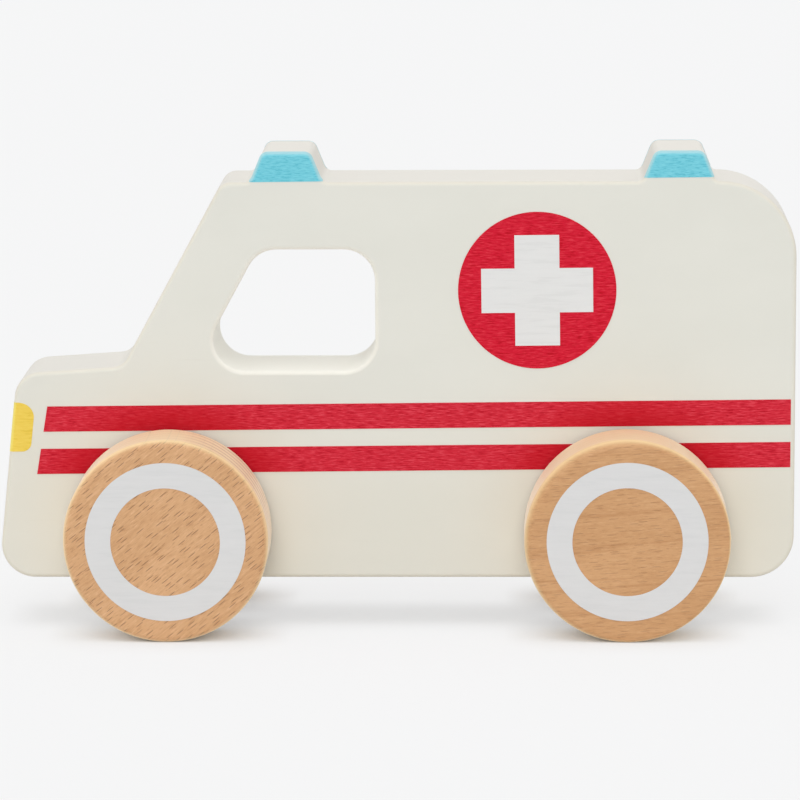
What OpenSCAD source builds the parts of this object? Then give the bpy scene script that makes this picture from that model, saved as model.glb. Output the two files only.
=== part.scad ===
// Wooden push-along toy ambulance: a painted slab body on two turning wheelsets.
// The nose points to -X, the left side faces -Y and the wheels stand on Z = 0.

/* [Body slab] */
// Length from the foremost point of the nose to the tail
body_length = 177.3; // [168:0.1:190]
// Thickness from the left face to the right face
body_thickness = 22.5; // [16:0.5:30]
// Height of the underside above the floor
ride_height = 11.2; // [8:0.1:14]
// Height of the roof above the underside
roof_rise = 89.2; // [86:0.1:96]
// Radius of the round-over along the edges of both faces
edge_radius = 1; // [0.4:0.1:1.5]

/* [Nose and hood] */
// Lean of the nose from upright, in degrees
nose_rake = 6.2; // [2:0.1:9]
// Radius of the corner under the nose
nose_corner_radius = 7.5; // [4:0.5:10]
// Height of the hood above the underside at its front
hood_front_rise = 46.4; // [43:0.1:47.5]
// Height of the hood above the underside at the windscreen
hood_back_rise = 48; // [46.8:0.1:52]
// Radius of the corner where the nose turns into the hood
hood_corner_radius = 6; // [3:0.5:9]

/* [Windscreen] */
// Distance from the foremost point of the nose to the foot of the windscreen
screen_setback = 27.9; // [24:0.1:30]
// Lean of the windscreen from upright, in degrees
screen_rake = 28.7; // [22:0.1:32]
// Radius of the hollow at the foot of the windscreen
screen_foot_radius = 4; // [2:0.5:8]
// Radius of the corner where the windscreen turns into the roof
screen_top_radius = 3.5; // [2:0.5:5]

/* [Tail] */
// Radius of the corner at the top of the tail
tail_top_radius = 17; // [10:0.5:17.5]
// Radius of the corner at the bottom of the tail
tail_bottom_radius = 9.5; // [5:0.5:15]

/* [Roof lights] */
// Height of a light above the roof
light_rise = 6.7; // [5:0.1:9]
// Width of a light where it meets the roof
light_foot_width = 16; // [14:0.1:16.2]
// Width of a light across its top
light_top_width = 10.6; // [9:0.1:13]
// Radius of the corners at the top of a light
light_top_radius = 2; // [1.6:0.1:3]
// Radius of the hollows at the foot of a light
light_foot_radius = 2; // [1:0.1:2.4]
// Height above the roof down to which a light is painted
light_coat_rise = 0.3; // [0:0.1:1]
// Distance from the front end of the roof to the middle of the front light
front_light_setback = 14.3; // [13.5:0.1:20]
// Distance from the tail to the middle of the rear light
rear_light_setback = 25.9; // [25.1:0.1:35]

/* [Cab window] */
// Height of the window's sill above the underside
window_sill_rise = 46.9; // [44:0.1:52]
// Distance from the roof down to the window's head
window_head_drop = 15.1; // [10:0.1:20]
// Length of the window along its sill
window_length = 40.8; // [34:0.1:44]
// Width of the post between the windscreen and the window, along the sill
window_post = 16.1; // [12:0.1:20]
// Radius of the window's corners
window_corner_radius = 7; // [3:0.5:9]

/* [Wheels] */
// Distance from the foremost point of the nose to the front axle
front_overhang = 38.15; // [33:0.05:43]
// Distance between the two axles
wheelbase = 101.7; // [92:0.1:112]
// Diameter of a wheel
wheel_diameter = 45.4; // [40:0.1:50]
// Thickness of a wheel
wheel_thickness = 15; // [11.5:0.5:20]
// Radius of a wheel's rounded edges
wheel_edge_radius = 1.4; // [0.5:0.1:3]
// Running gap between a wheel and the body
wheel_gap = 1; // [0.5:0.1:2]

/* [Axles] */
// Diameter of an axle dowel
axle_diameter = 8; // [6:0.5:10]
// Running clearance around an axle in the body
axle_clearance = 0.1; // [0.05:0.01:0.1]
// Depth of the blind bore in the inner face of a wheel
wheel_bore_depth = 10; // [6:0.5:11]
// Thickness of the glue around an axle's end
glue_line = 0.05; // [0.02:0.01:0.1]

/* [Paint] */
// Thickness of a coat of paint
paint_thickness = 0.1; // [0.05:0.01:0.2]
// Angle at which the print rises towards the tail, in degrees
print_tilt = 0.5; // [-1:0.1:1]
// Height of the lower stripe above the underside, halfway along the body
stripe_rise = 24.4; // [22:0.1:28]
// Width of a stripe
stripe_width = 5.7; // [4:0.1:7]
// Space between the two stripes
stripe_gap = 3.9; // [2:0.1:6]
// Distance from the edge of the nose to the front end of the lower stripe, at its lower edge
stripe_setback = 6.7; // [5.5:0.1:12]
// Lean of the stripes' front ends from upright, in degrees
stripe_end_rake = 9.5; // [0:0.5:15]
// Diameter of the emblem's disc
emblem_diameter = 35; // [26:0.5:37]
// Height of the emblem's middle above the underside
emblem_rise = 65; // [61:0.5:69]
// Distance from the tail to the emblem's middle
emblem_setback = 57.2; // [45:0.1:65]
// Height of a headlight
headlight_height = 11.1; // [8:0.1:13]
// Length of a headlight along the side of the nose
headlight_length = 4.75; // [3:0.05:6]
// Height of a headlight's lower edge above the underside
headlight_rise = 28.8; // [26:0.1:30]
// Radius of a headlight's rear corners
headlight_corner_radius = 2.2; // [0.5:0.1:2.5]
// Outer diameter of the ring on a wheel
ring_outer_diameter = 35.5; // [30:0.5:38]
// Inner diameter of the ring on a wheel
ring_inner_diameter = 24.2; // [16:0.1:28]

/* [Hidden] */
$fn = 96;

LEFT = -1;
RIGHT = 1;
FRONT = "front";
REAR = "rear";

// How far every cutting solid runs past what it cuts
overrun = 2;
// Largest turn of one straight step along a rounded corner, in degrees
arc_step = 12;
// Straight steps across the round-over of an edge
edge_steps = 4;
// Largest radius that the window's corners can take, as a share of its height
window_round_share = 0.45;

// Landmarks of the side outline, with heights counted from the underside
tail_x = body_length / 2;
nose_x = -tail_x;
nose_lean_share = tan(nose_rake);
nose_foot_x = nose_x
    + nose_corner_radius * (1 - cos(nose_rake) - (1 + sin(nose_rake)) * nose_lean_share);
screen_foot_x = nose_x + screen_setback;
screen_lean_share = tan(screen_rake);
roof_front_x = screen_x(roof_rise);
front_light_x = roof_front_x + front_light_setback;
rear_light_x = tail_x - rear_light_setback;
light_top_z = roof_rise + light_rise;
window_front_x = screen_x(window_sill_rise) + window_post;
window_back_x = window_front_x + window_length;
window_head_rise = roof_rise - window_head_drop;
window_height = window_head_rise - window_sill_rise;
tilt_share = tan(print_tilt);
stripe_end_share = tan(stripe_end_rake);
stripe_front_x = nose_edge_x(stripe_rise) + stripe_setback;
upper_stripe_rise = stripe_rise + stripe_width + stripe_gap;

// Wheelset sizes
axle_radius = axle_diameter / 2;
axle_z = wheel_diameter / 2;
wheel_inner_y = body_thickness / 2 + wheel_gap;
axle_length = 2 * (wheel_inner_y + wheel_bore_depth);

// Place along the body of the front or the rear axle
function axle_x(end) = nose_x + front_overhang + (end == REAR ? wheelbase : 0);

// Place of the nose's edge at a height
function nose_edge_x(rise) = nose_foot_x + rise * nose_lean_share;

// Place of the windscreen's edge at a height
function screen_x(rise) = screen_foot_x + (rise - hood_back_rise) * screen_lean_share;

function unit(v) = v / norm(v);

// Points along one rounded corner of an outline that is moved inwards by inset.
// The outline runs anticlockwise, so a hollow corner turns the other way.
function corner_arc(before, corner, after, radius, inset) =
    let (
        back = unit(before - corner),
        ahead = unit(after - corner),
        angle = acos(back * ahead),
        bulge = sign(ahead.x * back.y - ahead.y * back.x),
        centre = corner + unit(back + ahead) * radius / sin(angle / 2),
        start = corner + back * radius / tan(angle / 2) - centre,
        start_angle = atan2(start.y, start.x),
        sweep = bulge * (180 - angle),
        steps = ceil(abs(sweep) / arc_step)
    )
    [
        for (i = [0:steps])
            let (turn = start_angle + sweep * i / steps)
            centre + (radius - bulge * inset) * [cos(turn), sin(turn)]
    ];

// Closed outline through corners that are each rounded by their own radius
function outline(corners, radii, inset = 0) =
    let (count = len(corners))
    [
        for (i = [0:count - 1])
            each corner_arc(
                corners[(i + count - 1) % count], corners[i], corners[(i + 1) % count],
                radii[i], inset
            )
    ];

// Corners of a roof light from its rear foot to its front foot
function light_corners(x) = [
    [x + light_foot_width / 2, roof_rise],
    [x + light_top_width / 2, light_top_z],
    [x - light_top_width / 2, light_top_z],
    [x - light_foot_width / 2, roof_rise]
];
light_radii = [light_foot_radius, light_top_radius, light_top_radius, light_foot_radius];

// The hollow behind the rear light has only the roof that the tail's corner leaves
light_flank = atan2(light_rise, (light_foot_width - light_top_width) / 2);
rear_roof = rear_light_setback - light_foot_width / 2 - tail_top_radius;
rear_foot_radius = min(light_foot_radius, rear_roof / tan(light_flank / 2));
rear_light_radii = [rear_foot_radius, light_top_radius, light_top_radius, light_foot_radius];

body_corners = [
    [nose_foot_x, 0],
    [tail_x, 0],
    [tail_x, roof_rise],
    each light_corners(rear_light_x),
    each light_corners(front_light_x),
    [roof_front_x, roof_rise],
    [screen_foot_x, hood_back_rise],
    [nose_edge_x(hood_front_rise), hood_front_rise]
];
body_radii = [
    nose_corner_radius,
    tail_bottom_radius,
    tail_top_radius,
    each rear_light_radii,
    each light_radii,
    screen_top_radius,
    screen_foot_radius,
    hood_corner_radius
];

// The window's front edge runs parallel to the windscreen
window_corners = [
    [window_front_x, window_sill_rise],
    [window_back_x, window_sill_rise],
    [window_back_x, window_head_rise],
    [window_front_x + window_height * screen_lean_share, window_head_rise]
];
window_radius = min(window_corner_radius, window_height * window_round_share);
window_radii = [for (corner = window_corners) window_radius];

// Section of the round-over: how far each step lies inside the outline, and how far from the middle.
// The first step runs straight on past the side face, which trims it.
round_over = [
    for (i = [-1, each [1:edge_steps]])
        let (turn = 90 * i / edge_steps)
        [edge_radius * (1 - sin(turn)), body_thickness / 2 - sign(i) * edge_radius * (1 - cos(turn))]
];
slab_section = [
    each round_over,
    for (i = [edge_steps - 1:-1:0]) [round_over[i][0], -round_over[i][1]]
];
mouth_y = body_thickness / 2 + overrun;
window_section = [
    [round_over[0][0], mouth_y],
    each slab_section,
    [round_over[0][0], -mouth_y]
];

// Solid through rings of points that lie one behind the other, all of the same count
module loft(rings) {
    count = len(rings[0]);
    last = len(rings) - 1;
    polyhedron(
        points = [for (ring = rings) each ring],
        faces = [
            [for (i = [0:count - 1]) i],
            [for (i = [count - 1:-1:0]) last * count + i],
            for (r = [0:last - 1])
                for (i = [0:count - 1])
                    let (next = (i + 1) % count)
                    [r * count + i, (r + 1) * count + i, (r + 1) * count + next, r * count + next]
        ]
    );
}

// One ring of an outline, stood upright in the plane at y
function upright(points, y) = [for (p = points) [p.x, y, p.y + ride_height]];

module slab() {
    middle_z = ride_height + light_top_z / 2;
    intersection() {
        loft([for (step = slab_section) upright(outline(body_corners, body_radii, step[0]), step[1])]);
        translate([0, 0, middle_z])
            cube([body_length + overrun, body_thickness, light_top_z + overrun], center = true);
    }
}

module window_cut() {
    loft([for (step = window_section) upright(outline(window_corners, window_radii, -step[0]), step[1])]);
}

// Cylinder across the body, centred on an axle
module across(end, radius, length) {
    translate([axle_x(end), 0, axle_z])
        rotate([90, 0, 0])
            cylinder(r = radius, h = length, center = true);
}

module body() {
    color("ivory")
        difference() {
            slab();
            window_cut();
            for (end = [FRONT, REAR])
                across(end, axle_radius + axle_clearance, body_thickness + 2 * overrun);
        }
}

module axle(end) {
    color("burlywood")
        across(end, axle_radius, axle_length);
}

// Turns a shape that is drawn outwards along +Z from the origin to face out of one wheel
module on_wheel(end, side, y) {
    translate([axle_x(end), side * y, axle_z])
        rotate([-90 * side, 0, 0])
            children();
}

module wheel_section() {
    barrel = wheel_thickness - 2 * wheel_edge_radius;
    flat = axle_z - wheel_edge_radius;
    square([flat, wheel_thickness]);
    translate([0, wheel_edge_radius])
        square([axle_z, barrel]);
    for (level = [wheel_edge_radius, wheel_thickness - wheel_edge_radius])
        translate([flat, level])
            circle(r = wheel_edge_radius);
}

module wheel(end, side) {
    color("burlywood")
        on_wheel(end, side, wheel_inner_y)
            difference() {
                rotate_extrude()
                    wheel_section();
                translate([0, 0, -overrun])
                    cylinder(r = axle_radius + glue_line, h = wheel_bore_depth + overrun);
            }
}

module ring(end, side) {
    color("gainsboro")
        on_wheel(end, side, wheel_inner_y + wheel_thickness)
            difference() {
                cylinder(d = ring_outer_diameter, h = paint_thickness);
                translate([0, 0, -overrun])
                    cylinder(d = ring_inner_diameter, h = paint_thickness + 2 * overrun);
            }
}

// Coat of paint on one side face, from a shape that is drawn as that side is seen from the left
module coat(side) {
    depth = side * body_thickness / 2 + (side == RIGHT ? paint_thickness : 0);
    translate([0, depth, ride_height])
        rotate([90, 0, 0])
            linear_extrude(paint_thickness)
                children();
}

// Point on the print's tilted line that halfway along the body has a height
function on_tilt(x, rise) = [x, rise + x * tilt_share];

// Front end of a tilted line, where it meets the leaning front ends of the stripes
function stripe_front(rise) =
    let (level_x = stripe_front_x + (rise - stripe_rise) * stripe_end_share)
    on_tilt(level_x / (1 - stripe_end_share * tilt_share), rise);

module stripe(side, rise) {
    back_x = tail_x - edge_radius;
    top = rise + stripe_width;
    color("crimson")
        coat(side)
            polygon([stripe_front(rise), on_tilt(back_x, rise), on_tilt(back_x, top), stripe_front(top)]);
}

module emblem_disc(side) {
    color("crimson")
        coat(side)
            translate([tail_x - emblem_setback, emblem_rise])
                circle(d = emblem_diameter);
}

// The flat part of a side face, inside the round-over of its edges
module flat_face() {
    polygon(outline(body_corners, body_radii, edge_radius));
}

// The blue of a light covers its side down to a line just above the roof
module light(side, x) {
    front_x = x - light_foot_width / 2;
    back_x = x + light_foot_width / 2;
    coat_rise = roof_rise + light_coat_rise;
    color("skyblue")
        coat(side)
            intersection() {
                flat_face();
                polygon([
                    on_tilt(front_x, coat_rise),
                    on_tilt(back_x, coat_rise),
                    [back_x, light_top_z],
                    [front_x, light_top_z]
                ]);
            }
}

// The yellow of a headlight ends at the nose and has round corners behind
module headlight(side) {
    low = headlight_rise;
    high = headlight_rise + headlight_height;
    corners = [
        [nose_edge_x(low) - headlight_length, low],
        [nose_edge_x(low) + headlight_length, low],
        [nose_edge_x(high) + headlight_length, high],
        [nose_edge_x(high) - headlight_length, high]
    ];
    color("gold")
        coat(side)
            intersection() {
                flat_face();
                polygon(outline(corners, [for (corner = corners) headlight_corner_radius]));
            }
}

body();
axle(FRONT);  // front_axle
axle(REAR);  // rear_axle
wheel(FRONT, LEFT);  // front_left_wheel
wheel(FRONT, RIGHT);  // front_right_wheel
wheel(REAR, LEFT);  // rear_left_wheel
wheel(REAR, RIGHT);  // rear_right_wheel
ring(FRONT, LEFT);  // front_left_ring
ring(FRONT, RIGHT);  // front_right_ring
ring(REAR, LEFT);  // rear_left_ring
ring(REAR, RIGHT);  // rear_right_ring
stripe(LEFT, upper_stripe_rise);  // left_upper_stripe
stripe(RIGHT, upper_stripe_rise);  // right_upper_stripe
stripe(LEFT, stripe_rise);  // left_lower_stripe
stripe(RIGHT, stripe_rise);  // right_lower_stripe
emblem_disc(LEFT);  // left_emblem_disc
emblem_disc(RIGHT);  // right_emblem_disc
light(LEFT, front_light_x);  // left_front_light
light(RIGHT, front_light_x);  // right_front_light
light(LEFT, rear_light_x);  // left_rear_light
light(RIGHT, rear_light_x);  // right_rear_light
headlight(LEFT);  // left_headlight
headlight(RIGHT);  // right_headlight
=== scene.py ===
# Wooden toy ambulance: a painted slab body on two beech wheelsets, seen from its left side.
import math

import bmesh
import bpy
from mathutils import Matrix, Vector


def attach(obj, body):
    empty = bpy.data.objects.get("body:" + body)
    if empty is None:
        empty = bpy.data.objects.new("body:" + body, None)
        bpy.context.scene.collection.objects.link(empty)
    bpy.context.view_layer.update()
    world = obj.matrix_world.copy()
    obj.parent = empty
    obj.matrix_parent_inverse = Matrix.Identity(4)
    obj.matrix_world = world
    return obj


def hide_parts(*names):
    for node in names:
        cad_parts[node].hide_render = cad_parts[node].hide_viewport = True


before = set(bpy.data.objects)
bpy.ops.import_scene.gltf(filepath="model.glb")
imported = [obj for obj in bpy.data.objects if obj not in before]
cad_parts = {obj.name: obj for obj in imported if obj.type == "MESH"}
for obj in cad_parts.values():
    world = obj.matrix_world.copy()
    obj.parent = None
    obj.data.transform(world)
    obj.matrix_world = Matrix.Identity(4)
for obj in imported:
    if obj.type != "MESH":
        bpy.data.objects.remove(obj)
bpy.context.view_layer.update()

# Sizes of the solids, in millimetres, with heights counted from the underside
MM = 0.001
BODY_LENGTH = 177.3
BODY_THICKNESS = 22.5
RIDE_HEIGHT = 11.2
ROOF_RISE = 89.2
EDGE_RADIUS = 1.0
NOSE_RAKE = 6.2
NOSE_CORNER_RADIUS = 7.5
HOOD_FRONT_RISE = 46.4
HOOD_BACK_RISE = 48.0
HOOD_CORNER_RADIUS = 6.0
SCREEN_SETBACK = 27.9
SCREEN_RAKE = 28.7
SCREEN_FOOT_RADIUS = 4.0
SCREEN_TOP_RADIUS = 3.5
TAIL_TOP_RADIUS = 17.0
TAIL_BOTTOM_RADIUS = 9.5
LIGHT_RISE = 6.7
LIGHT_FOOT_WIDTH = 16.0
LIGHT_TOP_WIDTH = 10.6
LIGHT_TOP_RADIUS = 2.0
LIGHT_FOOT_RADIUS = 2.0
LIGHT_COAT_RISE = 0.3
FRONT_LIGHT_SETBACK = 14.3
REAR_LIGHT_SETBACK = 25.9
WINDOW_SILL_RISE = 46.9
WINDOW_HEAD_DROP = 15.1
WINDOW_LENGTH = 40.8
WINDOW_POST = 16.1
WINDOW_CORNER_RADIUS = 7.0
FRONT_OVERHANG = 38.15
WHEELBASE = 101.7
WHEEL_DIAMETER = 45.4
WHEEL_THICKNESS = 15.0
WHEEL_EDGE_RADIUS = 1.4
WHEEL_GAP = 1.0
AXLE_DIAMETER = 8.0
AXLE_CLEARANCE = 0.1
WHEEL_BORE_DEPTH = 10.0
GLUE_LINE = 0.05
PAINT_THICKNESS = 0.1
PRINT_TILT = 0.5
EMBLEM_RISE = 65.0
EMBLEM_SETBACK = 57.2
HEADLIGHT_HEIGHT = 11.1
HEADLIGHT_LENGTH = 4.75
HEADLIGHT_RISE = 28.8

# Sizes that only the looks need, in millimetres and degrees
CROSS_SPAN = 24.7
CROSS_ARM = 9.9
CROSS_THICKNESS = 0.04
COAT_THICKNESS = 0.06
COAT_GAP = 0.01
LIGHT_COAT_WIDTH = 16.3
LIGHT_COAT_POINTS = 97
COAT_WRAP = 90
HEADLIGHT_LEVELS = 40
HEADLIGHT_TOP_RADIUS = 3.2
HEADLIGHT_BOTTOM_RADIUS = 1.9
HEADLIGHT_TOP_DROP = 0.5
CORNER_STEP = 4
EDGE_STEPS = 8
WHEEL_SEGMENTS = 180
BORE_SEGMENTS = 64
SHARP_ANGLE = 50
MERGE_DISTANCE = 0.002
CUT_TOLERANCE = 0.001
# Rows of points on flat stretches, as shares of their length
LIGHT_COAT_SHARES = (0.5, 1.0)
HEADLIGHT_SHARES = (0.34, 0.67, 1.0)
WHEEL_FACE_SHARES = (0.25, 0.5, 0.75)
# How much more a wheel's outer edge is rounded on one side by hand, and in which direction
WHEEL_SANDING = {"front": (0.2, 110), "rear": (0.7, 145)}

LEFT = -1
RIGHT = 1
SIDES = {"left": LEFT, "right": RIGHT}

TAIL_X = BODY_LENGTH / 2
NOSE_X = -TAIL_X
NOSE_LEAN = math.tan(math.radians(NOSE_RAKE))
NOSE_TURN = 1 - math.cos(math.radians(NOSE_RAKE))
NOSE_FOOT_X = NOSE_X + NOSE_CORNER_RADIUS * (
    NOSE_TURN - (1 + math.sin(math.radians(NOSE_RAKE))) * NOSE_LEAN
)
SCREEN_FOOT_X = NOSE_X + SCREEN_SETBACK
SCREEN_LEAN = math.tan(math.radians(SCREEN_RAKE))
HALF = BODY_THICKNESS / 2
AXLE_Z = WHEEL_DIAMETER / 2
WHEEL_INNER_Y = HALF + WHEEL_GAP
WHEEL_OUTER_Y = WHEEL_INNER_Y + WHEEL_THICKNESS
AXLE_X = {"front": NOSE_X + FRONT_OVERHANG, "rear": NOSE_X + FRONT_OVERHANG + WHEELBASE}
TILT_SHARE = math.tan(math.radians(PRINT_TILT))


def nose_edge_x(rise):
    return NOSE_FOOT_X + rise * NOSE_LEAN


def screen_x(rise):
    return SCREEN_FOOT_X + (rise - HOOD_BACK_RISE) * SCREEN_LEAN


ROOF_FRONT_X = screen_x(ROOF_RISE)
LIGHT_X = {"front": ROOF_FRONT_X + FRONT_LIGHT_SETBACK, "rear": TAIL_X - REAR_LIGHT_SETBACK}


def light_corners(x):
    top = ROOF_RISE + LIGHT_RISE - COAT_THICKNESS
    return [
        (x + LIGHT_FOOT_WIDTH / 2, ROOF_RISE),
        (x + LIGHT_TOP_WIDTH / 2, top),
        (x - LIGHT_TOP_WIDTH / 2, top),
        (x - LIGHT_FOOT_WIDTH / 2, ROOF_RISE),
    ]


LIGHT_FLANK = math.atan2(LIGHT_RISE, (LIGHT_FOOT_WIDTH - LIGHT_TOP_WIDTH) / 2)
REAR_ROOF = REAR_LIGHT_SETBACK - LIGHT_FOOT_WIDTH / 2 - TAIL_TOP_RADIUS
REAR_FOOT_RADIUS = min(LIGHT_FOOT_RADIUS, REAR_ROOF / math.tan(LIGHT_FLANK / 2))

BODY_CORNERS = [
    (NOSE_FOOT_X, 0),
    (TAIL_X, 0),
    (TAIL_X, ROOF_RISE),
    *light_corners(LIGHT_X["rear"]),
    *light_corners(LIGHT_X["front"]),
    (ROOF_FRONT_X, ROOF_RISE),
    (SCREEN_FOOT_X, HOOD_BACK_RISE),
    (nose_edge_x(HOOD_FRONT_RISE), HOOD_FRONT_RISE),
]
BODY_RADII = [
    NOSE_CORNER_RADIUS,
    TAIL_BOTTOM_RADIUS,
    TAIL_TOP_RADIUS,
    REAR_FOOT_RADIUS,
    LIGHT_TOP_RADIUS,
    LIGHT_TOP_RADIUS,
    LIGHT_FOOT_RADIUS,
    LIGHT_FOOT_RADIUS,
    LIGHT_TOP_RADIUS,
    LIGHT_TOP_RADIUS,
    LIGHT_FOOT_RADIUS,
    SCREEN_TOP_RADIUS,
    SCREEN_FOOT_RADIUS,
    HOOD_CORNER_RADIUS,
]
# Place of each light's first corner in the list of the body's corners
LIGHT_FIRST_CORNER = {"rear": 3, "front": 7}

WINDOW_HEAD_RISE = ROOF_RISE - WINDOW_HEAD_DROP
WINDOW_HEIGHT = WINDOW_HEAD_RISE - WINDOW_SILL_RISE
WINDOW_FRONT_X = screen_x(WINDOW_SILL_RISE) + WINDOW_POST
WINDOW_BACK_X = WINDOW_FRONT_X + WINDOW_LENGTH
WINDOW_CORNERS = [
    (WINDOW_FRONT_X, WINDOW_SILL_RISE),
    (WINDOW_BACK_X, WINDOW_SILL_RISE),
    (WINDOW_BACK_X, WINDOW_HEAD_RISE),
    (WINDOW_FRONT_X + WINDOW_HEIGHT * SCREEN_LEAN, WINDOW_HEAD_RISE),
]
WINDOW_RADII = [WINDOW_CORNER_RADIUS] * len(WINDOW_CORNERS)


def corner_arc(corners, radii, index, inset):
    """Points along one rounded corner of an anticlockwise outline that is moved inwards by inset."""
    corner = Vector(corners[index])
    back = (Vector(corners[index - 1]) - corner).normalized()
    ahead = (Vector(corners[(index + 1) % len(corners)]) - corner).normalized()
    angle = math.acos(back.dot(ahead))
    bulge = 1 if ahead.x * back.y - ahead.y * back.x > 0 else -1
    radius = radii[index]
    centre = corner + (back + ahead).normalized() * radius / math.sin(angle / 2)
    start = corner + back * radius / math.tan(angle / 2) - centre
    start_angle = math.atan2(start.y, start.x)
    sweep = bulge * (math.pi - angle)
    steps = math.ceil(math.degrees(abs(sweep)) / CORNER_STEP)
    reach = radius - bulge * inset
    turns = [start_angle + sweep * i / steps for i in range(steps + 1)]
    return [(centre.x + reach * math.cos(t), centre.y + reach * math.sin(t)) for t in turns]


def outline(corners, radii, inset):
    points = []
    for index in range(len(corners)):
        points.extend(corner_arc(corners, radii, index, inset))
    return points


def place(x, y, rise):
    """A point of the body, from millimetres to metres."""
    return Vector((x * MM, y * MM, (rise + RIDE_HEIGHT) * MM))


def new_object(name, bm, material):
    mesh = bpy.data.meshes.new(name)
    bm.to_mesh(mesh)
    bm.free()
    mesh.materials.append(material)
    piece = bpy.data.objects.new(name, mesh)
    bpy.context.scene.collection.objects.link(piece)
    return piece


def shade_smooth(piece):
    """Smooth shading that keeps flat faces flat and sharp edges crisp."""
    mesh = piece.data
    mesh.polygons.foreach_set("use_smooth", [True] * len(mesh.polygons))
    mesh.set_sharp_from_angle(angle=math.radians(SHARP_ANGLE))
    weighted = piece.modifiers.new("flat faces", "WEIGHTED_NORMAL")
    weighted.mode = "FACE_AREA"
    weighted.weight = 100
    weighted.keep_sharp = True


def join_rings(bm, rings):
    """Faces between closed rings of points that lie one behind the other."""
    count = len(rings[0])
    for first, second in zip(rings, rings[1:]):
        for i in range(count):
            after = (i + 1) % count
            bm.faces.new((first[i], second[i], second[after], first[after]))


def ring_edges(bm, ring):
    edges = []
    for i, vert in enumerate(ring):
        pair = (vert, ring[(i + 1) % len(ring)])
        edges.append(bm.edges.get(pair) or bm.edges.new(pair))
    return edges


# Materials

SIDEWAYS = (0, 1, 0)
CREAM_SHADES = {
    "deep": (0.742, 0.738, 0.672),
    "pale": (0.766, 0.760, 0.695),
    # Painted light: the paler cream inside the window stands in for light reaching the sill and inner
    # walls
    "painted_window_light": (0.94, 0.925, 0.86),
    "streak": (0.62, 0.59, 0.51),
    "speck": (0.22, 0.20, 0.17),
}
# What the cream is multiplied by around the slab, along its edges and low down; the low tint is painted
# light, bounced warm from the wheels and floor
CREAM_TINTS = {
    "around": (1.0, 0.978, 0.995),
    "edge": (1.0, 0.965, 0.915),
    "low": (1.0, 0.985, 0.96),
}
# Heights in millimetres between which the low tint of painted bounce light grows to its full strength
LOW_TINT_START = 60
LOW_TINT_END = 25
BEECH_SHADES = {
    "deep": (0.63, 0.352, 0.166),
    "pale": (0.705, 0.412, 0.208),
    "band": (0.53, 0.268, 0.112),
    "dark": (0.45, 0.222, 0.09),
    "light": (0.82, 0.53, 0.31),
    "mark": (0.22, 0.095, 0.036),
    # Painted sheen: the paler colour of a wheel's barrel and rounded edges, for light glancing off them
    "rim": (1.0, 0.78, 0.44),
    "end": (0.50, 0.235, 0.09),
}
# How often each kind of grain repeats per millimetre, along X, Y and Z
CREAM_GRAIN = {
    "tone": (0.03, 0.03, 0.05),
    "streaks": (0.045, 0.5, 0.9),
    "fine": (0.5, 2.0, 2.5),
}
BEECH_GRAIN = {
    "tone": (0.025, 0.08, 0.1),
    "growth": (0.012, 0.2, 0.55),
    "bundles": (0.12, 1.5, 1.8),
    "fibres": (0.5, 3.4, 3.4),
    "waver": (0.03, 0.01, 0.03),
}
PRINT_PORES = (1.2, 4.0, 4.0)
RED_STREAKS = (0.45, 2.2, 4.2)
WHITE_STREAKS = (0.1, 0.6, 1.0)
BLUE_STREAKS = (0.65, 2.4, 4.0)
YELLOW_STREAKS = (0.3, 0.8, 1.4)
# Growth lines on a barrel: radians of their wave per millimetre, and how many millimetres they waver
GROWTH_LINE_TURN = 2.3
GROWTH_LINE_WAVER = 6.0
# Distances from an axle in millimetres between which painted shade darkens a print towards the wheel
WHEEL_PAINTED_SHADE_START = 33
WHEEL_PAINTED_SHADE_END = 23
# Depth of the relief in millimetres
PAINT_RELIEF = 0.02
BEECH_RELIEF = 0.05
# Scattered marks: how freely they lie, what share of a mark is fully dark, and how softly they thin out
MARK_SCATTER = 0.9
MARK_CORE_SHARE = 0.75
MARK_FADE = 0.1


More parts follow.
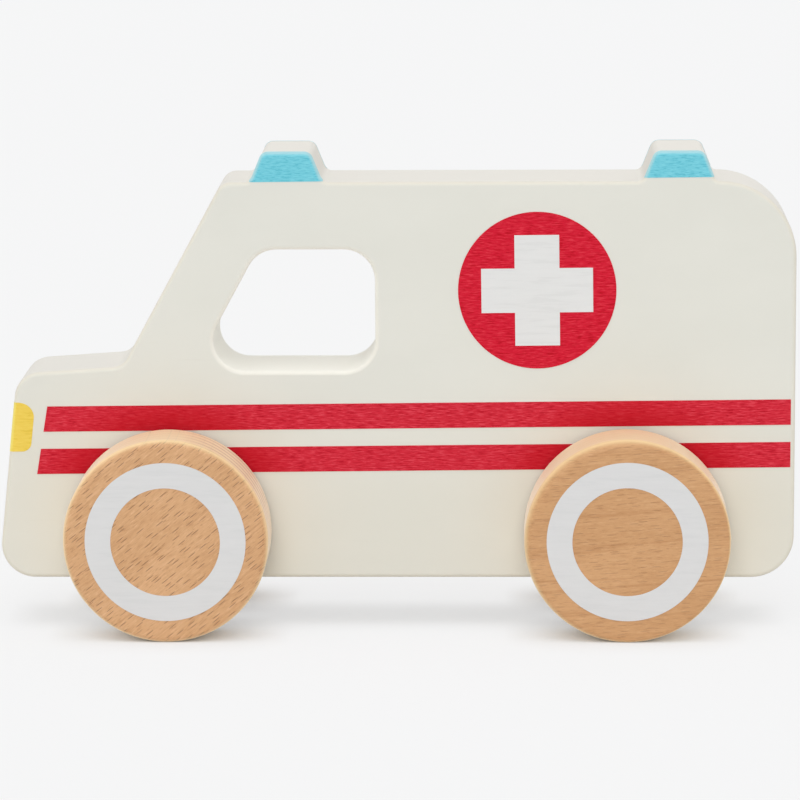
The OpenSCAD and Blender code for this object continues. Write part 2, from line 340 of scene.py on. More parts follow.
class Shader:
    """A material whose nodes are added one at a time."""

    def __init__(self, name):
        self.material = bpy.data.materials.new(name)
        self.material.use_nodes = True
        self.tree = self.material.node_tree
        self.surface = self.tree.nodes["Principled BSDF"]

    def add(self, kind, inputs, **settings):
        node = self.tree.nodes.new(kind)
        for key, value in settings.items():
            setattr(node, key, value)
        for socket, value in inputs.items():
            if isinstance(value, bpy.types.NodeSocket):
                self.tree.links.new(value, node.inputs[socket])
            else:
                node.inputs[socket].default_value = value
        return node

    def space(self, centre=(0, 0, 0), turn=0):
        """Coordinates in millimetres around a point, turned so that X runs along the grain."""
        coordinates = self.add("ShaderNodeTexCoord", {})
        moved = self.add(
            "ShaderNodeVectorMath",
            {0: coordinates.outputs["Object"], 1: Vector(centre) * MM},
            operation="SUBTRACT",
        )
        turned = self.add(
            "ShaderNodeMapping",
            {
                "Vector": moved.outputs[0],
                "Rotation": (0, math.radians(turn), 0),
                "Scale": (1 / MM, 1 / MM, 1 / MM),
            },
        )
        return turned.outputs[0]

    def stretch(self, vector, shares):
        node = self.add("ShaderNodeVectorMath", {0: vector, 1: shares}, operation="MULTIPLY")
        return node.outputs[0]

    def noise(self, vector, shares, detail=2.0, roughness=0.5, distortion=0.0):
        """Noise whose frequencies per millimetre are given for each direction."""
        node = self.add(
            "ShaderNodeTexNoise",
            {
                "Vector": self.stretch(vector, shares),
                "Scale": 1.0,
                "Detail": detail,
                "Roughness": roughness,
                "Distortion": distortion,
            },
        )
        return node.outputs["Fac"]

    def spread(self, value, low, high, to_low=0.0, to_high=1.0):
        node = self.add(
            "ShaderNodeMapRange",
            {0: value, 1: low, 2: high, 3: to_low, 4: to_high},
            interpolation_type="SMOOTHSTEP",
        )
        return node.outputs[0]

    def math(self, operation, first, second):
        node = self.add("ShaderNodeMath", {0: first, 1: second}, operation=operation)
        return node.outputs[0]

    def blend(self, factor, first, second, how="MIX"):
        first = (*first, 1) if isinstance(first, tuple) else first
        second = (*second, 1) if isinstance(second, tuple) else second
        node = self.add(
            "ShaderNodeMix", {0: factor, 6: first, 7: second}, data_type="RGBA", blend_type=how
        )
        return node.outputs[2]

    def length(self, vector):
        node = self.add("ShaderNodeVectorMath", {0: vector}, operation="LENGTH")
        return node.outputs["Value"]

    def facing(self, direction):
        """How squarely a surface faces along a direction, either way: from 0 to 1."""
        coordinates = self.add("ShaderNodeTexCoord", {})
        along = self.add(
            "ShaderNodeVectorMath",
            {0: coordinates.outputs["Normal"], 1: direction},
            operation="DOT_PRODUCT",
        )
        return self.math("ABSOLUTE", along.outputs["Value"], 0.0)

    def carried(self, name):
        """A value that a mesh carries in each of its points."""
        return self.add("ShaderNodeAttribute", {}, attribute_name=name).outputs["Fac"]

    def flecks(self, vector, along, across, reach, slimness, chance):
        """Small marks around points scattered over a side face, of which only a share shows.
        Along and across say how many there are per millimetre."""
        parts = self.add("ShaderNodeSeparateXYZ", {0: vector}).outputs
        spot = self.add(
            "ShaderNodeCombineXYZ",
            {0: self.math("MULTIPLY", parts[0], along), 1: self.math("MULTIPLY", parts[2], across)},
        )
        cells = self.add(
            "ShaderNodeTexVoronoi",
            {"Vector": spot.outputs[0], "Scale": 1.0, "Randomness": MARK_SCATTER},
            voronoi_dimensions="2D",
        )
        offset = self.add(
            "ShaderNodeVectorMath",
            {0: spot.outputs[0], 1: cells.outputs["Position"]},
            operation="SUBTRACT",
        )
        distance = self.length(self.stretch(offset.outputs[0], (1, slimness, 1)))
        mark = self.spread(distance, reach * MARK_CORE_SHARE, reach, 1.0, 0.0)
        draw = self.add("ShaderNodeSeparateColor", {0: cells.outputs["Color"]})
        shown = self.spread(draw.outputs[0], 1 - chance - MARK_FADE, 1 - chance + MARK_FADE)
        return self.math("MULTIPLY", mark, shown)

    def finish(self, colour, height, depth, roughness, gloss=0.5, sheen=0.0):
        """Sets the surface: depth is how deep the relief is, in millimetres."""
        self.surface.inputs["Specular IOR Level"].default_value = gloss
        self.surface.inputs["Sheen Weight"].default_value = sheen
        self.surface.inputs["Sheen Roughness"].default_value = 0.4
        self.tree.links.new(colour, self.surface.inputs["Base Color"])
        if isinstance(roughness, bpy.types.NodeSocket):
            self.tree.links.new(roughness, self.surface.inputs["Roughness"])
        else:
            self.surface.inputs["Roughness"].default_value = roughness
        relief = self.add("ShaderNodeBump", {"Height": height, "Distance": depth * MM})
        self.tree.links.new(relief.outputs[0], self.surface.inputs["Normal"])
        return self.material


def cream_paint():
    s = Shader("cream_paint")
    p = s.space()
    tone = s.noise(p, CREAM_GRAIN["tone"], detail=3)
    colour = s.blend(s.spread(tone, 0.3, 0.7), CREAM_SHADES["deep"], CREAM_SHADES["pale"])
    around = s.spread(s.facing(SIDEWAYS), 0.9, 0.3)
    colour = s.blend(around, colour, CREAM_TINTS["around"], "MULTIPLY")
    colour = s.blend(s.carried("edge"), colour, CREAM_TINTS["edge"], "MULTIPLY")
    # Painted light: the window's sill and inner walls are painted paler, for light reaching into the
    # window
    colour = s.blend(s.carried("painted_window_light"), colour, CREAM_SHADES["painted_window_light"])
    # Painted light: warmer towards the bottom, for light bounced up from the beech wheels and the floor
    height_up = s.add("ShaderNodeSeparateXYZ", {0: p}).outputs[2]
    low = s.spread(height_up, LOW_TINT_START, LOW_TINT_END)
    colour = s.blend(low, colour, CREAM_TINTS["low"], "MULTIPLY")
    streaks = s.noise(p, CREAM_GRAIN["streaks"], detail=4, roughness=0.6)
    colour = s.blend(s.spread(streaks, 0.66, 0.82, 0, 0.16), colour, CREAM_SHADES["streak"])
    specks = s.flecks(p, along=0.05, across=0.05, reach=0.008, slimness=1.0, chance=0.05)
    colour = s.blend(s.math("MULTIPLY", specks, 0.7), colour, CREAM_SHADES["speck"])
    fine = s.noise(p, CREAM_GRAIN["fine"], detail=3)
    height = s.math("ADD", s.math("MULTIPLY", streaks, 0.6), s.math("MULTIPLY", fine, 0.4))
    roughness = s.spread(tone, 0.2, 0.8, 0.46, 0.56)
    return s.finish(colour, height, PAINT_RELIEF, roughness, gloss=0.4)


def beech(name, centre, turn, bands, marks, contrast, ends, tint):
    """Beech with its grain along a turned X axis.
    Bands, marks, contrast and ends say how much of each shows."""
    s = Shader(name)
    p = s.space(centre, turn)
    shade = {}
    for key, colour in BEECH_SHADES.items():
        shade[key] = tuple(c * t for c, t in zip(colour, tint))
    # The painted sheen takes the wheel's tint at half strength
    shade["rim"] = tuple(c * (1 + t) / 2 for c, t in zip(BEECH_SHADES["rim"], tint))
    tone = s.noise(p, BEECH_GRAIN["tone"], detail=2, distortion=0.4)
    colour = s.blend(s.spread(tone, 0.3, 0.7), shade["deep"], shade["pale"])
    growth = s.noise(p, BEECH_GRAIN["growth"], detail=1, distortion=0.5)
    colour = s.blend(s.spread(growth, 0.56, 0.64, 0, bands), colour, shade["band"])
    bundles = s.noise(p, BEECH_GRAIN["bundles"], detail=3, roughness=0.6)
    colour = s.blend(s.spread(bundles, 0.52, 0.72, 0, 0.4 * contrast), colour, shade["dark"])
    colour = s.blend(s.spread(bundles, 0.48, 0.28, 0, 0.4 * contrast), colour, shade["light"])
    fibres = s.noise(p, BEECH_GRAIN["fibres"], detail=3, roughness=0.7)
    colour = s.blend(s.spread(fibres, 0.52, 0.72, 0, 0.75 * contrast), colour, shade["dark"])
    colour = s.blend(s.spread(fibres, 0.48, 0.28, 0, 0.6 * contrast), colour, shade["light"])
    dashes = s.flecks(p, along=0.22, across=0.95, reach=0.26, slimness=3.2, chance=0.85)
    colour = s.blend(s.math("MULTIPLY", dashes, marks), colour, shade["mark"])
    # Painted sheen: faces that turn away from the wheel's sides are painted paler, for light glancing
    # off them
    rim = s.spread(s.facing(SIDEWAYS), 0.99, 0.4, 0, 0.75)
    colour = s.blend(rim, colour, shade["rim"])
    angle = math.radians(turn)
    end_grain = s.spread(s.facing((math.cos(angle), 0, math.sin(angle))), 0.7, 0.98, 0.15 * ends, ends)
    barrel = s.spread(s.facing(SIDEWAYS), 0.5, 0.1)
    depth = s.add("ShaderNodeSeparateXYZ", {0: p}).outputs[1]
    waver = s.noise(p, BEECH_GRAIN["waver"], detail=3)
    layer = s.math("ADD", depth, s.math("MULTIPLY", waver, GROWTH_LINE_WAVER))
    wave = s.math("SINE", s.math("MULTIPLY", layer, GROWTH_LINE_TURN), 0.0)
    lines = s.spread(wave, 0.3, 0.95, 0.06, 0.9)
    grain = s.spread(fibres, 0.3, 0.7, 0.7, 1.0)
    where = s.math("MULTIPLY", end_grain, barrel)
    share = s.math("MULTIPLY", where, s.math("MULTIPLY", lines, grain))
    colour = s.blend(share, colour, shade["end"])
    height = s.math("SUBTRACT", s.math("MULTIPLY", fibres, 0.5), s.math("MULTIPLY", dashes, 0.6))
    roughness = s.spread(fibres, 0.2, 0.8, 0.42, 0.55)
    return s.finish(colour, height, BEECH_RELIEF, roughness, gloss=0.4, sheen=0.5)


def print_coat(name, shades, streak_shares, roughness, gloss, painted_edge_highlight=None, wheel_painted_shade=None):
    """Thin coat through which the grain of the wood shows as streaks.
    Its edge can be painted paler as a highlight, and it can be painted darker near the wheels as shade."""
    dark, middle, light = shades
    s = Shader(name)
    p = s.space()
    streaks = s.noise(p, streak_shares, detail=4, roughness=0.6, distortion=0.3)
    colour = s.blend(s.spread(streaks, 0.5, 0.36), middle, light)
    colour = s.blend(s.spread(streaks, 0.52, 0.64), colour, dark)
    if painted_edge_highlight:
        # Painted highlight: the coat is paler across its round-over
        colour = s.blend(s.spread(s.carried("edge"), 0.08, 0.6, 0, 0.7), colour, painted_edge_highlight)
    if wheel_painted_shade:
        for x in AXLE_X.values():
            distance = s.length(s.stretch(s.space((x, 0, AXLE_Z)), (1, 0, 1)))
            # Painted shade: the print darkens near each wheel, where the wheel shades it
            shade_near_axle = s.spread(distance, WHEEL_PAINTED_SHADE_START, WHEEL_PAINTED_SHADE_END, 0, 0.7)
            colour = s.blend(shade_near_axle, colour, wheel_painted_shade)
    pores = s.noise(p, PRINT_PORES, detail=2)
    height = s.math("SUBTRACT", s.math("MULTIPLY", pores, 0.5), streaks)
    return s.finish(colour, height, PAINT_RELIEF, roughness, gloss)


CREAM = cream_paint()
RED = print_coat(
    "red_print",
    ((0.49, 0.004, 0.018), (0.64, 0.020, 0.041), (0.73, 0.055, 0.083)),
    RED_STREAKS,
    roughness=0.42,
    gloss=0.1,
    # Painted shade on the stripes near the wheels
    wheel_painted_shade=(0.51, 0.001, 0.010),
)
EMBLEM_RED = print_coat(
    "emblem_print",
    ((0.49, 0.002, 0.012), (0.645, 0.008, 0.031), (0.73, 0.035, 0.06)),
    RED_STREAKS,
    roughness=0.42,
    gloss=0.1,
)
WHITE = print_coat(
    "white_print",
    ((0.682, 0.684, 0.684), (0.70, 0.70, 0.70), (0.71, 0.71, 0.71)),
    WHITE_STREAKS,
    roughness=0.5,
    gloss=0.25,
)
CROSS_WHITE = print_coat(
    "cross_print",
    ((0.735, 0.735, 0.725), (0.765, 0.765, 0.755), (0.775, 0.775, 0.765)),
    WHITE_STREAKS,
    roughness=0.5,
    gloss=0.25,
)
BLUE = print_coat(
    "blue_paint",
    ((0.10, 0.49, 0.61), (0.165, 0.60, 0.715), (0.21, 0.65, 0.755)),
    BLUE_STREAKS,
    roughness=0.4,
    gloss=0.25,
    # Painted highlight along the round-over of each roof light
    painted_edge_highlight=(0.47, 0.71, 0.75),
)
YELLOW = print_coat(
    "yellow_paint",
    ((0.79, 0.55, 0.06), (0.86, 0.62, 0.09), (0.88, 0.65, 0.11)),
    YELLOW_STREAKS,
    roughness=0.4,
    gloss=0.25,
    # Painted highlight along the round-over of each headlight
    painted_edge_highlight=(0.93, 0.82, 0.22),
)

# For each wheel the turn of its grain in degrees, how much growth bands, dark marks, fibres and
# end grain show, and its tint
WHEEL_WOOD = {
    ("front", "left"): (39, 0.15, 0.75, 1.0, 1.0, (0.985, 0.965, 0.95)),
    ("rear", "left"): (4, 0.4, 0.25, 0.75, 0.4, (0.905, 0.85, 0.77)),
    ("front", "right"): (-25, 0.3, 0.35, 1.0, 1.0, (0.98, 0.96, 0.94)),
    ("rear", "right"): (70, 0.4, 0.3, 0.9, 0.7, (0.95, 0.92, 0.88)),
}
AXLE_WOOD = (0, 0.3, 0.35, 1.0, 1.0, (1.0, 1.0, 1.0))


# Body

def round_over(wrap, lift=0.0):
    """Steps across the round-over of an edge.
    Each says how far inside the outline and how far from the body's middle it lies."""
    reach = EDGE_RADIUS + lift
    turns = [math.radians(wrap * i / EDGE_STEPS) for i in range(EDGE_STEPS + 1)]
    return [
        (EDGE_RADIUS - reach * math.sin(t), HALF - EDGE_RADIUS + reach * math.cos(t)) for t in turns
    ]


def painted_body():
    bm = bmesh.new()
    quarter = round_over(90)
    section = [(inset, -y) for inset, y in quarter] + [(inset, y) for inset, y in reversed(quarter)]
    shell = []
    tunnel = []
    edge_layer = bm.verts.layers.float.new("edge")
    painted_window_light_layer = bm.verts.layers.float.new("painted_window_light")
    for inset, y in section:
        ring = outline(BODY_CORNERS, BODY_RADII, inset)
        shell.append([bm.verts.new(place(x, y, rise)) for x, rise in ring])
        hole = outline(WINDOW_CORNERS, WINDOW_RADII, -inset)
        tunnel.append([bm.verts.new(place(x, y, rise)) for x, rise in hole])
        middle = 1 - abs(1 - 2 * math.asin(1 - inset / EDGE_RADIUS) / (math.pi / 2))
        for vert in shell[-1] + tunnel[-1]:
            vert[edge_layer] = middle
        # How strongly each point inside the window takes the paler cream of painted light
        for vert in tunnel[-1]:
            vert[painted_window_light_layer] = 1 - inset / EDGE_RADIUS
    join_rings(bm, shell)
    join_rings(bm, tunnel)
    bore_radius = AXLE_DIAMETER / 2 + AXLE_CLEARANCE
    turns = [2 * math.pi * i / BORE_SEGMENTS for i in range(BORE_SEGMENTS)]
    loops = [(shell[0], shell[-1]), (tunnel[0], tunnel[-1])]
    for x in AXLE_X.values():
        rings = []
        for side in (LEFT, RIGHT):
            ring = []
            for t in turns:
                spot = Vector((bore_radius * math.cos(t), side * HALF, bore_radius * math.sin(t)))
                ring.append(bm.verts.new((spot + Vector((x, 0, AXLE_Z))) * MM))
            rings.append(ring)
        join_rings(bm, rings)
        loops.append(tuple(rings))
    edges = []
    across = {}
    for left_loop, right_loop in loops:
        edges.extend(ring_edges(bm, left_loop))
        across.update(zip(left_loop, right_loop))
    filled = bmesh.ops.triangle_fill(bm, use_beauty=True, edges=edges, normal=(0, LEFT, 0))
    for face in filled["geom"]:
        if isinstance(face, bmesh.types.BMFace):
            bm.faces.new([across[vert] for vert in reversed(face.verts)])
    bmesh.ops.recalc_face_normals(bm, faces=bm.faces)
    piece = new_object("painted_body", bm, CREAM)
    shade_smooth(piece)
    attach(piece, "body")
    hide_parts("body")


# Coats

def film(name, outer, inner, edges, material):
    """Closed thin film on the body, between two grids of points.
    Edges says how near the film's end each point lies."""
    bm = bmesh.new()
    edge_layer = bm.verts.layers.float.new("edge")
    rows = len(outer)
    columns = len(outer[0])
    grids = []
    for points in (outer, inner):
        grid = [[bm.verts.new(point) for point in row] for row in points]
        for r in range(rows):
            for c in range(columns):
                grid[r][c][edge_layer] = edges[r][c]
        for r in range(rows - 1):
            for c in range(columns - 1):
                bm.faces.new((grid[r][c], grid[r][c + 1], grid[r + 1][c + 1], grid[r + 1][c]))
        grids.append(grid)
    rim = [(0, c) for c in range(columns)]
    rim += [(r, columns - 1) for r in range(1, rows)]
    rim += [(rows - 1, c) for c in range(columns - 2, -1, -1)]
    rim += [(r, 0) for r in range(rows - 2, 0, -1)]
    for i, (r, c) in enumerate(rim):
        r2, c2 = rim[(i + 1) % len(rim)]
        bm.faces.new((grids[0][r][c], grids[0][r2][c2], grids[1][r2][c2], grids[1][r][c]))
    bmesh.ops.remove_doubles(bm, verts=bm.verts, dist=MERGE_DISTANCE * MM)
    bmesh.ops.recalc_face_normals(bm, faces=bm.faces)
    piece = new_object(name, bm, material)
    shade_smooth(piece)
    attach(piece, "body")
    return piece


def coat_line(x):
    return ROOF_RISE + LIGHT_COAT_RISE + x * TILT_SHARE


def above_line(path):
    """The stretch of a path that lies above the lower edge of a light's coat."""
    kept = []
    for first, second in zip(path, path[1:]):
        low = first[1] - coat_line(first[0])
        high = second[1] - coat_line(second[0])
        if low * high < 0:
            share = low / (low - high)
            x = first[0] + share * (second[0] - first[0])
            kept.append((x, coat_line(x)))
        if high > 0:
            kept.append(second)
    return kept


def evenly(path, count):
    """Points at even distances along a path."""
    lengths = [0.0]
    for first, second in zip(path, path[1:]):
        lengths.append(lengths[-1] + math.dist(first, second))
    points = []
    index = 0
    for i in range(count):
        target = lengths[-1] * i / (count - 1)
        while index < len(lengths) - 2 and lengths[index + 1] < target:
            index += 1
        share = (target - lengths[index]) / (lengths[index + 1] - lengths[index])
        point = Vector(path[index]).lerp(Vector(path[index + 1]), share)
        points.append((point.x, point.y))
    return points


def light_outline(end, inset):
    first = LIGHT_FIRST_CORNER[end]
    path = []
    for index in range(first, first + 4):
        path.extend(corner_arc(BODY_CORNERS, BODY_RADII, index, inset))
    return path


def distance_to(path, spot):
    best = math.inf
    for first, second in zip(path, path[1:]):
        a = Vector(first)
        along = Vector(second) - a
        share = (Vector(spot) - a).dot(along) / along.length_squared
        best = min(best, (a + along * min(max(share, 0), 1) - Vector(spot)).length)
    return best


def light_row(end, inset, lift):
    """Points of a light's coat at one step across its round-over: place along, distance out, rise."""
    reach = LIGHT_COAT_WIDTH / 2
    path = []
    for x, rise in above_line(light_outline(end, inset)):
        path.append((LIGHT_X[end] + min(max(x - LIGHT_X[end], -reach), reach), rise))
    surface = light_outline(end, 0)
    row = []
    for x, rise in evenly(path, LIGHT_COAT_POINTS):
        cut = abs(abs(x - LIGHT_X[end]) - reach) < CUT_TOLERANCE
        depth = distance_to(surface, (x, rise)) if cut else inset
        short = EDGE_RADIUS - min(depth, EDGE_RADIUS)
        rounding = max((EDGE_RADIUS + lift) ** 2 - short**2, 0)
        row.append((x, HALF - EDGE_RADIUS + math.sqrt(rounding), rise))
    return row


def light_coat(end, side_name):
    side = SIDES[side_name]
    grids = []
    for lift in (COAT_THICKNESS, COAT_GAP):
        rows = []
        for inset, _ in reversed(round_over(COAT_WRAP, lift)):
            rows.append([place(x, side * y, rise) for x, y, rise in light_row(end, inset, lift)])
        flat = light_row(end, EDGE_RADIUS, lift)
        for share in LIGHT_COAT_SHARES:
            rows.append(
                [place(x, side * y, rise + share * (coat_line(x) - rise)) for x, y, rise in flat]
            )
        grids.append(rows)
    edges = []
    for r in range(len(grids[0])):
        edges.append([max(1 - r / EDGE_STEPS, 0)] * LIGHT_COAT_POINTS)
    name = f"{side_name}_{end}_light"
    piece = film(f"{name}_coat", grids[0], grids[1], edges, BLUE)
    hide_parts(name)


def corner_cut(radius, from_end):
    """How far a rounded corner draws back at a distance from the end of its side."""
    missing = radius - min(from_end, radius)
    return radius - math.sqrt(radius**2 - missing**2)


def headlight_coat(side_name):
    side = SIDES[side_name]
    lean = math.cos(math.radians(NOSE_RAKE))
    longest = HEADLIGHT_LENGTH - EDGE_RADIUS / lean
    grids = []
    for lift in (COAT_THICKNESS, COAT_GAP):
        section = round_over(COAT_WRAP, lift)
        rows = []
        for i in range(HEADLIGHT_LEVELS + 1):
            level = 0.5 - 0.5 * math.cos(math.pi * i / HEADLIGHT_LEVELS)
            height = HEADLIGHT_HEIGHT * level
            rise = HEADLIGHT_RISE + height
            row = [
                place(nose_edge_x(rise) + inset / lean, side * y, rise)
                for inset, y in reversed(section)
            ]
            cut = corner_cut(HEADLIGHT_TOP_RADIUS, HEADLIGHT_HEIGHT - height)
            cut += corner_cut(HEADLIGHT_BOTTOM_RADIUS, height)
            for share in HEADLIGHT_SHARES:
                along = share * (longest - cut)
                drop = level * HEADLIGHT_TOP_DROP * along / longest
                x = nose_edge_x(rise) + EDGE_RADIUS / lean + along
                row.append(place(x, side * (HALF + lift), rise - drop))
            rows.append(row)
        grids.append(rows)
    columns = len(grids[0][0])
    edges = [[max(1 - c / EDGE_STEPS, 0) for c in range(columns)] for _ in grids[0]]
    name = f"{side_name}_headlight"
    piece = film(f"{name}_coat", grids[0], grids[1], edges, YELLOW)
    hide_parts(name)


def cross(side_name):
    side = SIDES[side_name]
    arm = CROSS_ARM / 2
    span = CROSS_SPAN / 2
    quarter = [(arm, arm), (arm, span), (-arm, span)]
    corners = []
    for turn in range(4):
        for u, v in quarter:
            for _ in range(turn):
                u, v = -v, u
            corners.append((u, v))
    tilt = math.radians(PRINT_TILT)
    centre_x = TAIL_X - EMBLEM_SETBACK
    bottom = side * (HALF + PAINT_THICKNESS)
    top = side * (HALF + PAINT_THICKNESS + CROSS_THICKNESS)
    bm = bmesh.new()
    rings = []
    for y in (bottom, top):
        ring = []
        for u, v in corners:
            x = centre_x + u * math.cos(tilt) - v * math.sin(tilt)
            rise = EMBLEM_RISE + u * math.sin(tilt) + v * math.cos(tilt)
            ring.append(bm.verts.new(place(x, y, rise)))
        rings.append(ring)
    join_rings(bm, rings)
    bm.faces.new(rings[0])
    bm.faces.new(list(reversed(rings[1])))
    bmesh.ops.recalc_face_normals(bm, faces=bm.faces)
    piece = new_object(f"{side_name}_cross", bm, CROSS_WHITE)
    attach(piece, "body")


# Wheels

def wheel_profile(outer_edge):
    """Half section of a wheel, as radius and distance out from the body's middle."""
    radius = WHEEL_DIAMETER / 2
    bore = AXLE_DIAMETER / 2 + GLUE_LINE
    flat = radius - outer_edge
    points = [(flat * share, WHEEL_OUTER_Y) for share in WHEEL_FACE_SHARES]
    turns = [math.radians(90 * i / EDGE_STEPS) for i in range(EDGE_STEPS + 1)]
    for t in turns:
        points.append((flat + outer_edge * math.sin(t), WHEEL_OUTER_Y - outer_edge * (1 - math.cos(t))))
    edge = WHEEL_EDGE_RADIUS
    flat = radius - edge
    for t in reversed(turns):
        points.append((flat + edge * math.sin(t), WHEEL_INNER_Y + edge * (1 - math.cos(t))))
    points.append((bore, WHEEL_INNER_Y))
    points.append((bore, WHEEL_INNER_Y + WHEEL_BORE_DEPTH))
    return points


def beech_wheel(end, side_name):
    side = SIDES[side_name]
    x = AXLE_X[end]
    bm = bmesh.new()
    turns = [2 * math.pi * i / WHEEL_SEGMENTS for i in range(WHEEL_SEGMENTS)]
    extra, direction = WHEEL_SANDING[end]
    spokes = []
    for t in turns:
        profile = wheel_profile(WHEEL_EDGE_RADIUS + extra * math.cos(t - math.radians(direction)))
        spokes.append(
            [
                bm.verts.new(Vector((x + r * math.cos(t), side * y, AXLE_Z + r * math.sin(t))) * MM)
                for r, y in profile
            ]
        )
    rings = list(zip(*spokes))
    join_rings(bm, rings)
    for ring, y in ((rings[0], WHEEL_OUTER_Y), (rings[-1], WHEEL_INNER_Y + WHEEL_BORE_DEPTH)):
        hub = bm.verts.new(Vector((x, side * y, AXLE_Z)) * MM)
        for i in range(WHEEL_SEGMENTS):
            bm.faces.new((hub, ring[i], ring[(i + 1) % WHEEL_SEGMENTS]))
    bmesh.ops.recalc_face_normals(bm, faces=bm.faces)
    node = f"{end}_{side_name}_wheel"
    wood = beech(f"{node}_beech", (x, side * WHEEL_OUTER_Y, AXLE_Z), *WHEEL_WOOD[end, side_name])
    piece = new_object(f"{node}_turned", bm, wood)
    shade_smooth(piece)
    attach(piece, f"{end}_wheelset")
    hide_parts(node)


# Stage

# Half the floor's side, in metres
FLOOR_REACH = 12.0
FLOOR_COLOUR = (0.84, 0.855, 0.87, 1)
FLOOR_GLOW = (0.945, 0.946, 0.950, 1)
FLOOR_GLOW_SHARE = 0.8
# How far from the toy its contact shadow reaches, in millimetres
CONTACT_REACH = 12.8
STUDIO_WHITE = (1, 1, 1, 1)
DOME_STRENGTH = 0.37
BACKDROP_STRENGTH = 0.92
PLAIN_LIGHT = (1.0, 1.0, 1.0)
WARM_LIGHT = (1.0, 0.95, 0.87)
# Strength of each lamp, its height, direction and width in degrees, and its colour
LAMPS = {
    "key_lamp": (0.83, 20, -4, 34, PLAIN_LIGHT),
    "top_lamp": (1.00, 70, 0, 50, PLAIN_LIGHT),
    "back_lamp": (0.34, 40, 165, 70, PLAIN_LIGHT),
    "nose_lamp": (0.52, 32, -90, 60, WARM_LIGHT),
    "tail_lamp": (0.44, 24, 90, 60, WARM_LIGHT),
}


def seen_rays(tree):
    """1 for what the camera sees, straight or in a gloss or glass, and 0 for the light on surfaces."""
    path = tree.nodes.new("ShaderNodeLightPath")
    seen = path.outputs["Is Camera Ray"]
    for ray in ("Is Glossy Ray", "Is Transmission Ray"):
        either = tree.nodes.new("ShaderNodeMath")
        either.operation = "MAXIMUM"
        tree.links.new(seen, either.inputs[0])
        tree.links.new(path.outputs[ray], either.inputs[1])
        seen = either.outputs[0]
    return seen


def mix_shaders(tree, factor, first, second, output):
    mix = tree.nodes.new("ShaderNodeMixShader")
    tree.links.new(factor, mix.inputs[0])
    tree.links.new(first.outputs[0], mix.inputs[1])
    tree.links.new(second.outputs[0], mix.inputs[2])
    tree.links.new(mix.outputs[0], tree.nodes[output].inputs["Surface"])


def pale_floor():
    material = bpy.data.materials.new("pale_floor")
    material.use_nodes = True
    tree = material.node_tree
    surface = tree.nodes["Principled BSDF"]
    surface.inputs["Base Color"].default_value = FLOOR_COLOUR
    surface.inputs["Roughness"].default_value = 0.9
    surface.inputs["Specular IOR Level"].default_value = 0.0
    glow = tree.nodes.new("ShaderNodeEmission")
    glow.inputs["Color"].default_value = FLOOR_GLOW
    nearness = tree.nodes.new("ShaderNodeAmbientOcclusion")
    nearness.inputs["Distance"].default_value = CONTACT_REACH * MM
    share = tree.nodes.new("ShaderNodeMath")
    share.operation = "MULTIPLY"
    tree.links.new(seen_rays(tree), share.inputs[0])
    tree.links.new(nearness.outputs["AO"], share.inputs[1])
    part = tree.nodes.new("ShaderNodeMath")
    part.operation = "MULTIPLY"
    part.inputs[1].default_value = FLOOR_GLOW_SHARE
    tree.links.new(share.outputs[0], part.inputs[0])
    mix_shaders(tree, part.outputs[0], surface, glow, "Material Output")
    return material


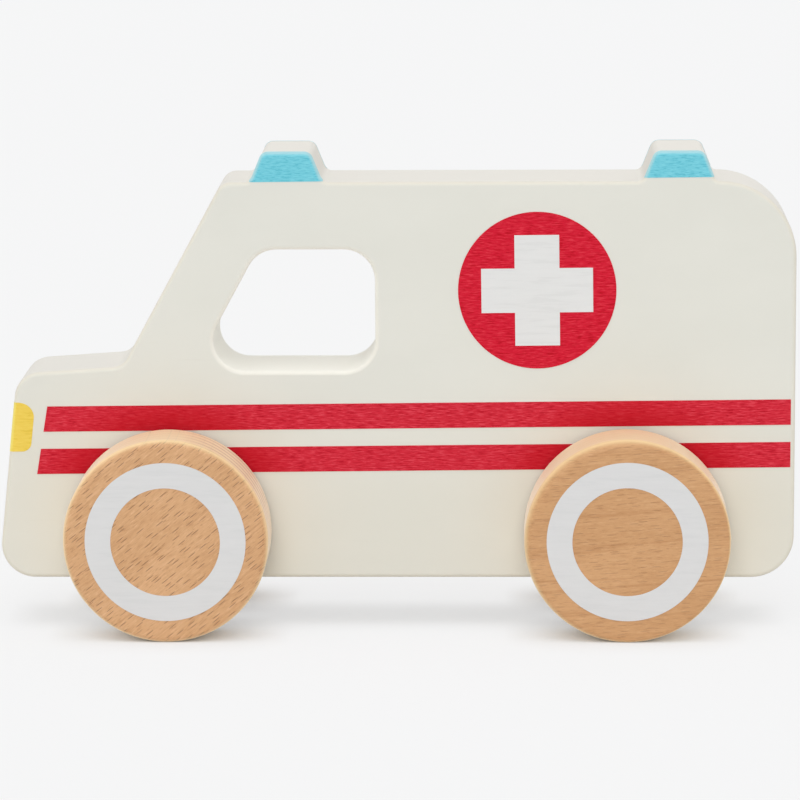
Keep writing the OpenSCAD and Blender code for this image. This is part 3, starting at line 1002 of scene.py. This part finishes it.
def stage():
    scene = bpy.context.scene
    bm = bmesh.new()
    for u, v in ((-1, -1), (1, -1), (1, 1), (-1, 1)):
        bm.verts.new((u * FLOOR_REACH, v * FLOOR_REACH, 0))
    bm.faces.new(bm.verts)
    new_object("floor", bm, pale_floor())

    world = bpy.data.worlds.new("studio")
    scene.world = world
    world.use_nodes = True
    tree = world.node_tree
    dome = tree.nodes["Background"]
    dome.inputs["Color"].default_value = STUDIO_WHITE
    dome.inputs["Strength"].default_value = DOME_STRENGTH
    backdrop = tree.nodes.new("ShaderNodeBackground")
    backdrop.inputs["Color"].default_value = STUDIO_WHITE
    backdrop.inputs["Strength"].default_value = BACKDROP_STRENGTH
    mix_shaders(tree, seen_rays(tree), dome, backdrop, "World Output")

    for name, (strength, elevation, azimuth, angle, tint) in LAMPS.items():
        lamp = bpy.data.lights.new(name, "SUN")
        lamp.energy = strength
        lamp.color = tint
        lamp.angle = math.radians(angle)
        holder = bpy.data.objects.new(name, lamp)
        scene.collection.objects.link(holder)
        e = math.radians(elevation)
        a = math.radians(azimuth)
        towards = Vector((math.sin(a) * math.cos(e), -math.cos(a) * math.cos(e), math.sin(e)))
        holder.rotation_mode = "QUATERNION"
        holder.rotation_quaternion = towards.to_track_quat("Z", "Y")


def camera():
    """The photograph's viewpoint: place in millimetres, turns in radians, focal length in pixels."""
    eye = Vector((29.180, -946.507, 217.680))
    pitch = 0.175652
    yaw = 0.030169
    roll = 0.0062537
    focal_pixels = 4275.36
    image_pixels = 800
    ahead = Vector(
        (-math.sin(yaw) * math.cos(pitch), math.cos(yaw) * math.cos(pitch), -math.sin(pitch))
    )
    level = Vector((math.cos(yaw), math.sin(yaw), 0))
    down = ahead.cross(level)
    right = math.cos(roll) * level + math.sin(roll) * down
    lower = -math.sin(roll) * level + math.cos(roll) * down
    axes = Matrix((right, -lower, -ahead)).transposed()
    data = bpy.data.cameras.new("camera")
    data.sensor_width = 36.0
    data.lens = data.sensor_width * focal_pixels / image_pixels
    data.clip_start = 0.01
    data.clip_end = 50.0
    holder = bpy.data.objects.new("camera", data)
    bpy.context.scene.collection.objects.link(holder)
    holder.matrix_world = Matrix.Translation(eye * MM) @ axes.to_4x4()
    bpy.context.scene.camera = holder


def dress(node, material):
    """Gives a CAD node a better material."""
    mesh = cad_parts[node].data
    mesh.materials.clear()
    mesh.materials.append(material)


camera()
stage()
painted_body()
for side_name in SIDES:
    for end in AXLE_X:
        beech_wheel(end, side_name)
        light_coat(end, side_name)
        dress(f"{end}_{side_name}_ring", WHITE)
    headlight_coat(side_name)
    cross(side_name)
    dress(f"{side_name}_upper_stripe", RED)
    dress(f"{side_name}_lower_stripe", RED)
    dress(f"{side_name}_emblem_disc", EMBLEM_RED)
for end in AXLE_X:
    dress(f"{end}_axle", beech(f"{end}_axle_wood", (AXLE_X[end], 0, AXLE_Z), *AXLE_WOOD))

bpy.context.scene.view_settings.view_transform = "Standard"
